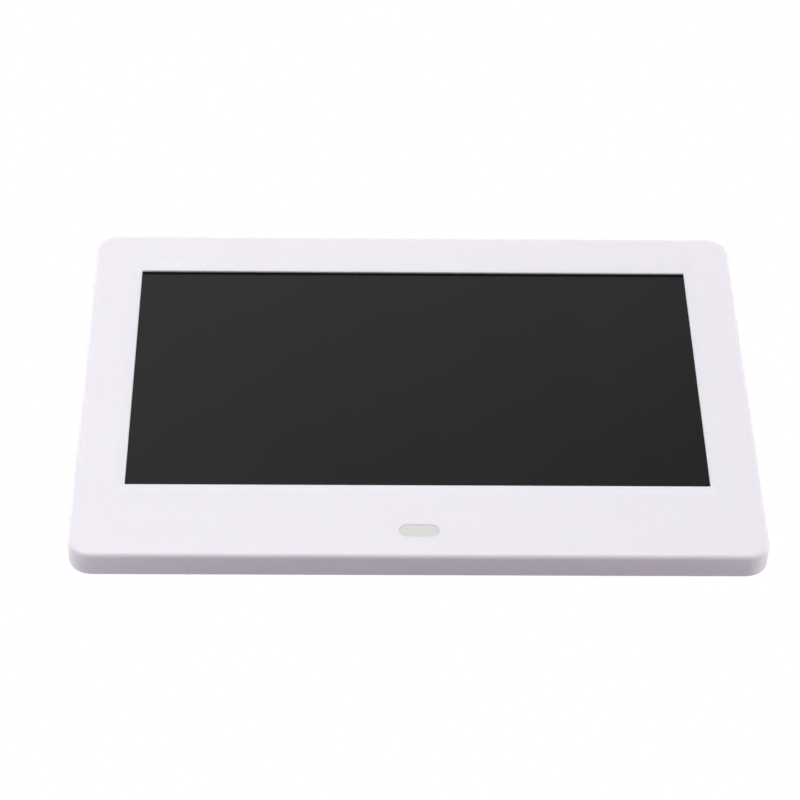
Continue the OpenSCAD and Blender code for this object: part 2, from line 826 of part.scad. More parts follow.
module socket_cuts() {
  x0 = wall_out - cover_wall - 1;
  x1 = wall_out + 1;
  box(x0, x1, sd_y - 13, sd_y + 13, board_z - 2.8, board_z - 0.1);
  box(x0, x1, usb_y - 6.8, usb_y + 6.8, board_z - 5.95, flange_z);
  box(x0, x1, mini_usb_y - 4.1, mini_usb_y + 4.1, board_z - 4.1, flange_z);
  along_x(x0, x1, phones_y, phones_z, phones_nose_r + nose_gap);
  along_x(x0, x1, power_y, power_z, power_nose_r + nose_gap);
}

// Room behind a keyhole for the screw's head, from its round end to the end of its slot
module keyhole_box(wall, z0, z1) {
  side = keyhole_d / 2 + keyhole_room + wall;
  box(-side, side, -side, keyhole_run + keyhole_slot / 2 + keyhole_room + wall, z0, z1);
}

// A keyhole takes a screw's head at its round end and holds its neck in the slot above
module keyhole_cut() {
  post(keyhole_d / 2, 0, floor_z + 1);
  box(-keyhole_slot / 2, keyhole_slot / 2, 0, keyhole_run, 0, floor_z + 1);
  translate([0, keyhole_run, 0]) post(keyhole_slot / 2, 0, floor_z + 1);
  keyhole_box(0, floor_z, floor_z + keyhole_depth);
}

module vent_cuts() {
  for (i = [0:7]) box(30 + 4.5 * i, 31.6 + 4.5 * i, -23, -9, 0, floor_z + 1);
  for (i = [0:3]) box(-31.6 - 4.5 * i, -30 - 4.5 * i, -23, -9, 0, floor_z + 1);
  each_at(speaker_places) for (i = [-4:4]) box(3 * i - 0.7, 3 * i + 0.7, -3.5, 3.5, 0, floor_z + 0.4);
}

module rear_cover() {
  color(white) difference() {
    union() {
      difference() {
        union() {
          slab(frame_w - 2 * flange_inset, frame_h - 2 * flange_inset, corner_r - flange_inset,
               flange_z, bezel_z);
          housing_solid(0, foot_h, 1.2, flange_z + eps);
        }
        housing_solid(cover_wall, floor_z, 0.4, bezel_z + 1);
      }
      difference() {
        slab(cavity_w - 2 * tongue_gap, cavity_h - 2 * tongue_gap, 3.3, bezel_z - 0.2, bezel_z + tongue_h);
        slab(cavity_w - 2 * (tongue_gap + tongue_t), cavity_h - 2 * (tongue_gap + tongue_t), 2.1,
             bezel_z - 1, bezel_z + tongue_h + 1);
      }
      cover_fittings();
      recess_walls();
    }
    recess_cut();
    socket_cuts();
    vent_cuts();
    for (x = [-1, 1]) translate([x * keyhole_x, keyhole_y, 0]) keyhole_cut();
    each_at(key_places) pill(key_w + 0.6, key_h + 0.6, 0, floor_z + 0.1);
    each_at(foot_places) post(foot_r, 0, foot_h + foot_sink);
    each_at(case_screw_places) {
      post(case_shank_r + 0.2, case_boss_z - 1, bezel_z + 1);
      post(case_head_r + 0.2, case_boss_z - 1, case_head_z + case_head_h);
    }
    each_at(board_screws) post(small_shank_r, board_z - 4, board_z + 1);
    each_at(key_screws) post(small_shank_r, floor_z + 0.4, key_board_z + 1);
  }
}

module case_screws() {
  color(steel) each_at(case_screw_places) {
    post(case_shank_r, case_head_z + case_head_h, plate_z - 0.8);
    difference() {
      post(case_head_r, case_head_z, case_head_z + case_head_h);
      for (a = [0, 90]) rotate(a) box(-1.4, 1.4, -0.3, 0.3, case_head_z - 1, case_head_z + 0.7);
    }
  }
}

module rear_feet() {
  color(rubber) each_at(foot_places) post(foot_r, 0, foot_h + foot_sink);
}

// Outline of the leg: straight past the barrel, then narrower down to the rounded tip
module leg_outline(inset) {
  half = leg_w / 2 - inset;
  tip = leg_tip_w / 2 - inset;
  tip_y = leg_tip_y + inset;
  taper_y = hinge_y - barrel_r - 0.4 - inset;
  bend = 6;
  polygon(concat(
    [[half, taper_y], [half, hinge_y - inset], [-half, hinge_y - inset], [-half, taper_y]],
    [[-tip, tip_y + bend]],
    [for (i = [1:corner_steps]) let (a = 90 * i / corner_steps)
      [-tip + bend * (1 - cos(a)), tip_y + bend * (1 - sin(a))]],
    [for (i = [0:corner_steps - 1]) let (a = 90 * i / corner_steps)
      [tip - bend * (1 - sin(a)), tip_y + bend * (1 - cos(a))]],
    [[tip, tip_y + bend]]
  ));
}

// The leg is a ribbed plate: its inner side is hollowed between a border and three cross ribs
module stand_leg() {
  rib = 2;
  color(white) difference() {
    union() {
      translate([0, 0, leg_z]) linear_extrude(leg_t) leg_outline(0);
      along_x(-leg_w / 2, leg_w / 2, hinge_y, hinge_z, barrel_r);
    }
    difference() {
      translate([0, 0, leg_z + leg_t / 2]) linear_extrude(leg_t) leg_outline(rib + 2);
      for (i = [1:3]) translate([0, hinge_y - i * leg_l / 4, 0])
        box(-leg_w, leg_w, -rib / 2, rib / 2, 0, frame_t);
      translate([0, hinge_y, 0]) box(-leg_w, leg_w, -5, 9, 0, frame_t);
    }
    along_x(-leg_w, leg_w, hinge_y, hinge_z, pin_d / 2 + pin_fit);
  }
}

module stand_hinge_pin() {
  half = recess_w / 2 + ear_l;
  color(steel) along_x(-half, half, hinge_y, hinge_z, pin_d / 2);
}

// Rubber strip across the tip of the leg
module stand_pad() {
  color(rubber) box(-pad_w / 2, pad_w / 2, leg_tip_y - pad_t, leg_tip_y, leg_z + 0.2, leg_z + leg_t - 0.2);
}

front_bezel();
screen_gasket();
ir_window();
ir_receiver();
ir_board();
ir_lead();
lcd_polariser();
lcd_upper_glass();
lcd_lower_glass();
lcd_driver_chips();
lcd_frame();
lcd_diffuser_sheets();
lcd_light_guide();
lcd_reflector();
backlight_led_strip();
backlight_lead();
lcd_back_plate();
lcd_ribbon();
lcd_retainers();
main_board();
processor_chip();
memory_chip();
flash_chip();
power_inductors();
capacitors();
crystal();
battery_holder();
backup_battery();
ribbon_connector();
lead_connectors();
sd_card_socket();
usb_socket_shell();
usb_socket_tongue();
mini_usb_socket();
headphone_jack();
power_jack();
power_jack_pin();
speaker_gaskets();
speaker_frames();
speaker_cones();
speaker_magnets();
speaker_leads();
small_screws();
key_board();
key_ribbon();
key_switches();
power_key();
menu_key();
up_key();
left_key();
enter_key();
right_key();
down_key();
rear_cover();
case_screws();
rear_feet();
stand_leg();
stand_hinge_pin();
stand_pad();
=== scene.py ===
"""Looks of a seven-inch digital photo frame that lies on its back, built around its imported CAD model.

Everything is in metres, in the CAD's frame: +X is the long side, +Y the top edge of the picture, +Z out of the
screen, and the floor is at z = 0.
"""

import json
import math

import bmesh
import bpy
from mathutils import Matrix, Vector
from mathutils.bvhtree import BVHTree


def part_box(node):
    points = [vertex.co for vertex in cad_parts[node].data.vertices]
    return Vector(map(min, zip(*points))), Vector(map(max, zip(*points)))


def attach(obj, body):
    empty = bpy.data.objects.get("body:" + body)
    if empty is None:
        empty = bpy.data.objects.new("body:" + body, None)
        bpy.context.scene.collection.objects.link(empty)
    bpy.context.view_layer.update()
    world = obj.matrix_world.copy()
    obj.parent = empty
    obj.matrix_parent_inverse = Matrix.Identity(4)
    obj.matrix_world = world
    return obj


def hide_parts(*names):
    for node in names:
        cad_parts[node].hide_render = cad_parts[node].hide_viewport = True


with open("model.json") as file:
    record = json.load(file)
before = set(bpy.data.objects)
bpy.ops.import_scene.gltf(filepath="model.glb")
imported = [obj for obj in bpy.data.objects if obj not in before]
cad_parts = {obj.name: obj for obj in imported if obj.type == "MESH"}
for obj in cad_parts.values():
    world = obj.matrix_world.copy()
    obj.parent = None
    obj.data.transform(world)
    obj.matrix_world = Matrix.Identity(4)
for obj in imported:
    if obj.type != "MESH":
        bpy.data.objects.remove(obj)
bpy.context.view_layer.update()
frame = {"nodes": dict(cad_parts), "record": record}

mm = 0.001
scene = bpy.context.scene
bodies = frame["record"]["behaviour"]["bodies"]
body_of_node = {node: body for body, nodes in bodies.items() for node in nodes}

# Bezel
CORNER_R = 6 * mm
FRONT_EDGE_R = 1.5 * mm
FRONT_EDGE_DROP = 1.25 * mm
REAR_EDGE_R = 0.8 * mm
BEZEL_WALL = 2.5 * mm
FRONT_PLATE = 2 * mm
POLARISER_MARGIN = 1 * mm
BORDER_W = 3.7 * mm
BORDER_BLEND = 1 * mm
BORDER_D = 0.7 * mm
LIP_T = 0.55 * mm
RIM_R = 0.35 * mm
BORDER_CORNER_R = 2.2 * mm
SCREEN_CORNER_R = 0.1 * mm
GLASS_MARGIN = 0.75 * mm

# Infrared window: its flange stands out by this much to the sides and to the ends, and the lens clears its hole
FLANGE_X = 1 * mm
FLANGE_Y = 0.8 * mm
FLANGE_T = 0.8 * mm
LENS_GAP = 0.03 * mm
HOLE_RIM_R = 0.08 * mm

# Keys: rim that holds the cap in the cover, and the dish for the finger
KEY_RIM_W = 1.2 * mm
KEY_RIM_T = 0.8 * mm
KEY_CAP_H = 2.8 * mm
KEY_DISH = 0.2 * mm
PUSHER_R = 1.6 * mm

# Posts and hooks on the back of the bezel's front plate
CASE_SCREW_HEAD_R = 2.3 * mm
BLIND_HOLE = 0.6 * mm
IR_POST_X = 9.5 * mm
HOOK_X = 50 * mm
HOOK_HALF_W = 6 * mm
RIB_LEN = 8 * mm

FOOT_R = 4 * mm
MERGE = 1e-7


# ---------------------------------------------------------------- meshes


def arc_points(x, y, radius, start, sweep, steps):
    """Points of an arc, its two ends included. Angles in degrees."""
    angles = [math.radians(start + sweep * i / steps) for i in range(steps + 1)]
    return [(x + radius * math.cos(a), y + radius * math.sin(a)) for a in angles]


def rounded_rect(half_x, half_y, radius, centre=(0, 0), steps=14):
    """Outline of a rectangle with round corners, anticlockwise seen from above."""
    points = []
    for quarter, (sx, sy) in enumerate(((1, 1), (-1, 1), (-1, -1), (1, -1))):
        x = centre[0] + sx * (half_x - radius)
        y = centre[1] + sy * (half_y - radius)
        points += arc_points(x, y, radius, 90 * quarter, 90, steps)
    return points


def pill(half_x, half_y, centre=(0, 0), steps=14):
    return rounded_rect(half_x, half_y, half_y * 0.998, centre, steps)


def circle(radius, centre=(0, 0), steps=32):
    return arc_points(*centre, radius, 0, 360 - 360 / steps, steps - 1)


def rectangle(x0, x1, y0, y1):
    return [(x1, y1), (x0, y1), (x0, y0), (x1, y0)]


def edge_round(radius, steps=5):
    """(inset, depth) pairs of a rounded edge, from the face to the side."""
    angles = [math.radians(90 * i / steps) for i in range(steps + 1)]
    return [(radius * (1 - math.sin(a)), radius * (1 - math.cos(a))) for a in angles]


class Solid:
    """A closed mesh put together from loops of points."""

    def __init__(self):
        self.bm = bmesh.new()

    def loop(self, points, z):
        return [self.bm.verts.new((x, y, z)) for x, y in points]

    def skin(self, loops):
        """Quads between each loop and the next, which has as many points. Gives the last loop."""
        for a, b in zip(loops, loops[1:]):
            for i in range(len(a)):
                j = (i + 1) % len(a)
                self.bm.faces.new((a[i], a[j], b[j], b[i]))
        return loops[-1]

    def cap(self, loop):
        self.bm.faces.new(loop)

    def closed(self, loops):
        """Skin with a cap at both ends."""
        self.cap(loops[0])
        self.cap(self.skin(loops))

    def plate(self, loops):
        """Flat face inside the first loop, with the other loops as its holes."""
        edges = []
        for loop in loops:
            for i, vert in enumerate(loop):
                pair = (vert, loop[(i + 1) % len(loop)])
                edges.append(self.bm.edges.get(pair) or self.bm.edges.new(pair))
        bmesh.ops.triangle_fill(self.bm, edges=edges, use_beauty=True, use_dissolve=False, normal=(0, 0, 1))

    def piece(self, name, node, material):
        """The mesh as an object that stands for a CAD node and rides on its body."""
        bmesh.ops.remove_doubles(self.bm, verts=self.bm.verts, dist=MERGE)
        bmesh.ops.dissolve_degenerate(self.bm, edges=self.bm.edges, dist=1e-8)
        bmesh.ops.recalc_face_normals(self.bm, faces=self.bm.faces)
        stand_in(self.bm, name, node, material)


def stand_in(bm, name, node, material, sharp=40):
    """Makes a bmesh into an object with smooth faces and clean edges, in place of a CAD node."""
    piece = ride_as(bm, name, body_of_node[node], material, sharp)
    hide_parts(node)


def ride_as(bm, name, body, material, sharp=40):
    """Makes a bmesh into an object with smooth faces and clean edges that rides on a body."""
    mesh = bpy.data.meshes.new(name)
    bm.to_mesh(mesh)
    bm.free()
    mesh.shade_smooth()
    mesh.set_sharp_from_angle(angle=math.radians(sharp))
    mesh.materials.append(material)
    piece = bpy.data.objects.new(name, mesh)
    scene.collection.objects.link(piece)
    even = piece.modifiers.new("even_normals", "WEIGHTED_NORMAL")
    even.keep_sharp = True
    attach(piece, body)
    return piece


# Two edges of a face run opposite ways along a strip when the cosine between them is beyond this
OPPOSITE_COS = -0.7


def cramped(bm, hard, room):
    """Hard edges that face another one across a strip of face narrower than that room."""
    found = set()
    for face in bm.faces:
        sides = []
        for loop in face.loops:
            if loop.edge in hard:
                start, end = loop.vert.co, loop.link_loop_next.vert.co
                sides.append((loop.edge, start, end, (end - start).normalized()))
        for i, (edge, start, end, along) in enumerate(sides):
            for other, back_start, back_end, back in sides[i + 1:]:
                if along.dot(back) > OPPOSITE_COS:
                    continue
                gaps = [
                    (point - min(1, max(0, share)) * (b - a) - a).length
                    for point, a, b in (
                        (start, back_start, back_end), (end, back_start, back_end),
                        (back_start, start, end), (back_end, start, end),
                    )
                    for share in [(point - a).dot(b - a) / (b - a).length_squared]
                ]
                if min(gaps) < room:
                    found |= {edge, other}
    return found


def in_sight(bm, edges, directions):
    """The edges that face one of those directions with nothing of the same mesh in front of them."""
    tree = BVHTree.FromBMesh(bm)
    seen = set()
    for edge in edges:
        normal = (edge.link_faces[0].normal + edge.link_faces[1].normal).normalized()
        start = (edge.verts[0].co + edge.verts[1].co) / 2 + normal * 0.02 * mm
        for direction in directions:
            towards = Vector(direction).normalized()
            if normal.dot(towards) > 0.2 and tree.ray_cast(start, towards)[0] is None:
                seen.add(edge)
    return seen


def refined(node, name, material, width, seen_from=None):
    """A copy of a CAD node's mesh with its hard edges rounded, in place of the node. Where two edges leave no
    room for it they stay hard, and so do those that can't be seen from the given directions."""
    bm = bmesh.new()
    bm.from_mesh(frame["nodes"][node].data)
    bmesh.ops.remove_doubles(bm, verts=bm.verts, dist=1e-6)
    bmesh.ops.dissolve_limit(
        bm, angle_limit=math.radians(0.5), use_dissolve_boundaries=False, verts=bm.verts, edges=bm.edges,
        delimit={"NORMAL"},
    )
    hard = {e for e in bm.edges if len(e.link_faces) == 2 and e.calc_face_angle() > math.radians(30)}
    hard -= cramped(bm, hard, 2.2 * width)
    if seen_from:
        hard = in_sight(bm, hard, seen_from)
    rounded = [edge for edge in bm.edges if edge in hard]
    bmesh.ops.bevel(
        bm, geom=rounded, offset=width, offset_type="OFFSET", segments=2, profile=0.5, affect="EDGES",
        clamp_overlap=False,
    )
    bmesh.ops.remove_doubles(bm, verts=bm.verts, dist=MERGE)
    bmesh.ops.dissolve_degenerate(bm, edges=bm.edges, dist=MERGE)
    stand_in(bm, name, node, material, sharp=35)


# ------------------------------------------------------------- materials


def new_node(tree, kind, links=(), values=(), **settings):
    """A shader node with its settings, its constant sockets and the sockets that other nodes feed."""
    made = tree.nodes.new(kind)
    for key, value in settings.items():
        setattr(made, key, value)
    for socket, value in dict(values).items():
        made.inputs[socket].default_value = value
    for socket, source in dict(links).items():
        tree.links.new(source, made.inputs[socket])
    return made


class Finish:
    """A procedural material, with short calls for the nodes that repeat. Textures keep to the object's own
    coordinates, in metres."""

    def __init__(self, name, slot, base, roughness, **constants):
        self.material = bpy.data.materials.new(name)
        self.material["slot"] = slot
        self.material.use_nodes = True
        self.tree = self.material.node_tree
        self.shader = self.tree.nodes["Principled BSDF"]
        self.place = self.node("ShaderNodeTexCoord").outputs["Object"]
        self.base = (*base, 1)
        self.shader.inputs["Base Color"].default_value = self.base
        self.shader.inputs["Roughness"].default_value = roughness
        for socket, value in constants.items():
            self.shader.inputs[socket.replace("_", " ")].default_value = value
        self.bumped = None

    def node(self, kind, links=(), values=(), **settings):
        return new_node(self.tree, kind, links, values, **settings)

    def stretched(self, stretch):
        scaled = self.node("ShaderNodeMapping", {"Vector": self.place}, {"Scale": stretch})
        return scaled.outputs["Vector"]

    def noise(self, size, detail=2.0, stretch=None):
        """Noise whose blobs are about that size, in metres."""
        place = self.stretched(stretch) if stretch else self.place
        made = self.node("ShaderNodeTexNoise", {"Vector": place}, {"Scale": 1 / size, "Detail": detail})
        return made.outputs["Fac"]

    def cells(self, size):
        return self.node("ShaderNodeTexVoronoi", {"Vector": self.place}, {"Scale": 1 / size})

    def between(self, value, low, high, to_low=0.0, to_high=1.0):
        made = self.node(
            "ShaderNodeMapRange", {"Value": value},
            {"From Min": low, "From Max": high, "To Min": to_low, "To Max": to_high},
        )
        return made.outputs["Result"]

    def math(self, operation, a, b):
        made = self.node("ShaderNodeMath", operation=operation)
        for socket, value in zip(made.inputs, (a, b)):
            if isinstance(value, (int, float)):
                socket.default_value = value
            else:
                self.tree.links.new(value, socket)
        return made.outputs["Value"]

    def paint(self, factor, colour):
        """Mixes a colour over the base by a factor from 0 to 1."""
        made = self.node("ShaderNodeMix", data_type="RGBA")
        socket = self.shader.inputs["Base Color"]
        if socket.is_linked:
            self.tree.links.new(socket.links[0].from_socket, made.inputs[6])
        else:
            made.inputs[6].default_value = self.base
        made.inputs[7].default_value = (*colour, 1)
        self.tree.links.new(factor, made.inputs[0])
        self.tree.links.new(made.outputs[2], socket)

    def mottle(self, size, amount, detail=3.0):
        """Faint darker blotches of the base colour."""
        darker = tuple(c * (1 - amount) for c in self.base[:3])
        self.paint(self.between(self.noise(size, detail), 0.35, 0.65), darker)

    def gloss(self, size, low, high, detail=3.0, stretch=None):
        varied = self.between(self.noise(size, detail, stretch), 0.3, 0.7, low, high)
        self.tree.links.new(varied, self.shader.inputs["Roughness"])

    def relief(self, height, depth):
        """Bump of that depth in metres, on top of any bump before it."""
        made = self.node("ShaderNodeBump", {"Height": height}, {"Distance": depth, "Strength": 1.0})
        if self.bumped is not None:
            self.tree.links.new(self.bumped, made.inputs["Normal"])
        self.bumped = made.outputs["Normal"]
        self.tree.links.new(self.bumped, self.shader.inputs["Normal"])

    def grain(self, size, depth, detail=2.0, stretch=None):
        self.relief(self.noise(size, detail, stretch), depth)


def plastic(name, slot, base, roughness, grain_size=0.35 * mm, grain_depth=0.004 * mm, **constants):
    """Moulded plastic: a faint flow mottle, patches of wear in the gloss, and a fine spark-eroded grain."""
    made = Finish(name, slot, base, roughness, **constants)
    made.mottle(14 * mm, 0.012)
    made.mottle(0.6 * mm, 0.008)
    made.gloss(9 * mm, roughness - 0.04, roughness + 0.05)
    made.grain(grain_size, grain_depth)
    made.grain(22 * mm, 0.02 * mm, detail=1.0)
    return made


def metal(name, slot, base, roughness, streaks=(1, 1, 12)):
    """Rolled or plated metal with fine streaks along one direction and slight tarnish."""
    made = Finish(name, slot, base, roughness, Metallic=1.0)
    made.mottle(3 * mm, 0.08)
    made.gloss(0.6 * mm, roughness - 0.07, roughness + 0.1, stretch=streaks)
    made.grain(0.12 * mm, 0.002 * mm, stretch=streaks)
    return made


WHITE = (0.800, 0.776, 0.826)

white = plastic("white_abs", "white_shell", WHITE, 0.42, Subsurface_Weight=0.35, Subsurface_Scale=2.2 * mm)
white.shader.inputs["Subsurface Radius"].default_value = (1.0, 0.6, 0.7)
white_key = plastic("key_abs", "white_key", tuple(c * 0.97 for c in WHITE), 0.34, grain_depth=0.002 * mm)
black = plastic("black_nylon", "black_plastic", (0.014, 0.014, 0.016), 0.45, grain_depth=0.006 * mm)
chip_epoxy = plastic("chip_epoxy", "black_plastic", (0.02, 0.02, 0.022), 0.62, grain_size=0.15 * mm)
cone = plastic("speaker_cone", "black_plastic", (0.03, 0.03, 0.032), 0.8, grain_size=0.25 * mm,
               grain_depth=0.02 * mm)
pale = plastic("pale_nylon", "pale_plastic", (0.72, 0.68, 0.58), 0.5)
module_white = plastic("module_plastic", "pale_plastic", (0.74, 0.74, 0.70), 0.5)
film = plastic("diffuser_film", "pale_plastic", (0.85, 0.85, 0.83), 0.35, grain_size=0.1 * mm)
reflector = plastic("reflector_film", "pale_plastic", (0.9, 0.9, 0.9), 0.25)
led_strip = plastic("led_strip", "pale_plastic", (0.78, 0.74, 0.5), 0.4)
acrylic = plastic("guide_acrylic", "clear_acrylic", (0.8, 0.86, 0.9), 0.08, Transmission_Weight=0.7)
glass = plastic("panel_glass", "panel_glass", (0.03, 0.035, 0.04), 0.06)
red_jacket = plastic("red_jacket", "lead_jacket", (0.4, 0.02, 0.02), 0.45)
black_jacket = plastic("black_jacket", "lead_jacket", (0.02, 0.02, 0.022), 0.45)
ferrite = plastic("ferrite", "ferrite", (0.05, 0.05, 0.055), 0.7, grain_size=0.3 * mm, grain_depth=0.02 * mm)
steel = metal("steel", "steel", (0.56, 0.57, 0.58), 0.32)
plated = metal("plated_pin", "plated_pin", (0.62, 0.61, 0.58), 0.2, streaks=(6, 1, 1))
can = metal("aluminium_can", "aluminium_can", (0.72, 0.73, 0.75), 0.3)

rubber = Finish("rubber", "black_rubber", (0.03, 0.03, 0.032), 0.78)
rubber.mottle(5 * mm, 0.25)
rubber.paint(rubber.between(rubber.noise(0.5 * mm), 0.62, 0.75, 0, 0.25), (0.12, 0.12, 0.12))
rubber.gloss(2 * mm, 0.68, 0.88)
rubber.grain(0.2 * mm, 0.02 * mm)

ink = Finish("grey_print", "white_key", (0.16, 0.16, 0.18), 0.5)
ink.paint(ink.between(ink.noise(0.18 * mm), 0.6, 0.72, 0, 0.5), (0.3, 0.3, 0.32))
ink.gloss(0.5 * mm, 0.42, 0.58)
ink.grain(0.1 * mm, 0.003 * mm)

# Anti-glare film: a matt, almost black face with a very fine sparkle, some dust and faint wipe marks
screen = Finish("anti_glare_film", "screen", (0.0055, 0.0055, 0.0056), 0.16)
screen.mottle(40 * mm, 0.10, detail=1.0)
dust = screen.cells(9 * mm)
bright_cell = screen.node("ShaderNodeSeparateColor", {"Color": dust.outputs["Color"]})
near = screen.between(dust.outputs["Distance"], 0.016, 0.03, 1, 0)
picked = screen.between(bright_cell.outputs["Red"], 0.86, 0.90)
screen.paint(screen.math("MULTIPLY", near, picked), (0.22, 0.22, 0.22))
screen.gloss(30 * mm, 0.14, 0.19, detail=4.0, stretch=(1, 0.4, 1))
screen.grain(0.09 * mm, 0.0012 * mm)

# Pale grey window over the infrared receiver
pale_grey = Finish("ir_window_acrylic", "ir_window", (0.675, 0.675, 0.66), 0.24, IOR=1.49)
pale_grey.mottle(2.5 * mm, 0.012)
pale_grey.gloss(1.5 * mm, 0.22, 0.27)
pale_grey.grain(0.5 * mm, 0.001 * mm)

# Green circuit board: solder mask over tracks at right angles, with small plated holes
board = Finish("circuit_board", "circuit_board", (0.012, 0.11, 0.04), 0.35)
tracks = board.node(
    "ShaderNodeTexBrick", {"Vector": board.place},
    {"Scale": 420.0, "Mortar Size": 0.16, "Brick Width": 1.6, "Row Height": 0.32, "Bias": 0.0},
)
board.paint(board.between(tracks.outputs["Fac"], 0.2, 0.8, 0, 0.7), (0.03, 0.2, 0.08))
holes = board.cells(2.6 * mm)
board.paint(board.between(holes.outputs["Distance"], 0.08, 0.11, 1, 0), (0.55, 0.5, 0.36))
board.mottle(8 * mm, 0.15)
board.gloss(4 * mm, 0.28, 0.42)
board.relief(tracks.outputs["Fac"], 0.02 * mm)

# Flat ribbon: orange film with its conductors showing through as stripes
ribbon = Finish("ribbon_film", "ribbon_film", (0.55, 0.26, 0.05), 0.3)
stripes = ribbon.node(
    "ShaderNodeTexWave", {"Vector": ribbon.place}, {"Scale": 320.0, "Distortion": 0.0}, bands_direction="X"
)
ribbon.paint(ribbon.between(stripes.outputs["Fac"], 0.45, 0.55, 0, 0.6), (0.75, 0.45, 0.2))
ribbon.mottle(5 * mm, 0.08)
ribbon.gloss(3 * mm, 0.24, 0.36)
ribbon.relief(stripes.outputs["Fac"], 0.01 * mm)

MATERIAL_OF = {
    "screen_gasket": rubber, "ir_receiver": black, "ir_board": board, "ir_lead": black_jacket,
    "lcd_polariser": screen, "lcd_upper_glass": glass, "lcd_lower_glass": glass, "lcd_driver_chips": chip_epoxy,
    "lcd_frame": module_white, "lcd_diffuser_sheets": film, "lcd_light_guide": acrylic,
    "lcd_reflector": reflector, "backlight_led_strip": led_strip, "backlight_lead": red_jacket,
    "lcd_back_plate": steel, "lcd_ribbon": ribbon, "lcd_retainers": steel, "main_board": board,
    "processor_chip": chip_epoxy, "memory_chip": chip_epoxy, "flash_chip": chip_epoxy,
    "power_inductors": ferrite, "capacitors": can, "crystal": steel, "battery_holder": black,
    "backup_battery": can, "ribbon_connector": pale, "lead_connectors": pale, "speaker_gaskets": rubber,
    "speaker_frames": black, "speaker_cones": cone, "speaker_magnets": steel, "speaker_leads": black_jacket,
    "small_screws": steel, "key_board": board, "key_ribbon": ribbon, "key_switches": black,
    "stand_hinge_pin": steel,
}
for node, finish in MATERIAL_OF.items():
    mesh = frame["nodes"][node].data
    mesh.materials.clear()
    mesh.materials.append(finish.material)


# ----------------------------------------------------------------- bezel


def bezel_posts(solid, plate_z, rear_z, window_y):
    """Everything that stands on the back of the bezel's front plate. Gives the loops it leaves open there."""

    def post(x, y, profile):
        """Round post, given by (radius, z) from its root over its tip and down its blind hole."""
        loops = [solid.loop(circle(r, (x, y)), z) for r, z in profile]
        solid.cap(solid.skin(loops))
        return loops[0]

    roots = []
    _, screw_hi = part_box("case_screws")
    case_x = screw_hi.x - CASE_SCREW_HEAD_R
    case_y = screw_hi.y - CASE_SCREW_HEAD_R
    for x in (-case_x, case_x):
        for y in (-case_y, case_y):
            roots.append(post(x, y, [
                (3.6 * mm, plate_z), (3.6 * mm, rear_z + 0.2 * mm), (3.4 * mm, rear_z),
                (1.2 * mm, rear_z), (1.2 * mm, plate_z - BLIND_HOLE),
            ]))
    module_lo, module_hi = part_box("lcd_back_plate")
    retainer_lo, retainer_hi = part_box("lcd_retainers")
    for x in (retainer_lo.x + 5 * mm, retainer_hi.x - 5 * mm):
        roots.append(post(x, retainer_lo.y + 2.2 * mm, [
            (2.3 * mm, plate_z), (2.3 * mm, module_lo.z + 0.2 * mm), (2.1 * mm, module_lo.z),
            (0.9 * mm, module_lo.z), (0.9 * mm, plate_z - BLIND_HOLE),
        ]))
    board_lo, board_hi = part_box("ir_board")
    for x in (-IR_POST_X, IR_POST_X):
        roots.append(post(x, window_y, [
            (1.6 * mm, plate_z), (1.6 * mm, board_hi.z), (0.9 * mm, board_hi.z), (0.9 * mm, board_lo.z),
            (1.5 * mm, board_lo.z), (1.45 * mm, board_lo.z - 0.25 * mm), (1.1 * mm, board_lo.z - 0.45 * mm),
            (0.5 * mm, board_lo.z - 0.5 * mm),
        ]))

    def bar(levels):
        """Square-sided post, given by (rectangle, z) from its root to its tip."""
        loops = [solid.loop(rectangle(*sides), z) for sides, z in levels]
        solid.cap(solid.skin(loops))
        return loops[0]

    for x in (-HOOK_X, HOOK_X):
        ends = (x - HOOK_HALF_W, x + HOOK_HALF_W)
        wall = (*ends, module_hi.y + 0.2 * mm, module_hi.y + 1.8 * mm)
        hook = (*ends, module_hi.y - 1.5 * mm, module_hi.y + 1.8 * mm)
        roots.append(bar([
            (wall, plate_z), (wall, module_lo.z - 0.1 * mm), (hook, module_lo.z - 0.1 * mm),
            (hook, rear_z + 0.1 * mm),
        ]))
    for side in (-1, 1):
        for y in (-20 * mm, 30 * mm):
            x0, x1 = sorted(side * (module_hi.x + d * mm) for d in (0.2, 1.4))
            rib = (x0, x1, y, y + RIB_LEN)
            roots.append(bar([(rib, plate_z), (rib, module_lo.z)]))
    return roots


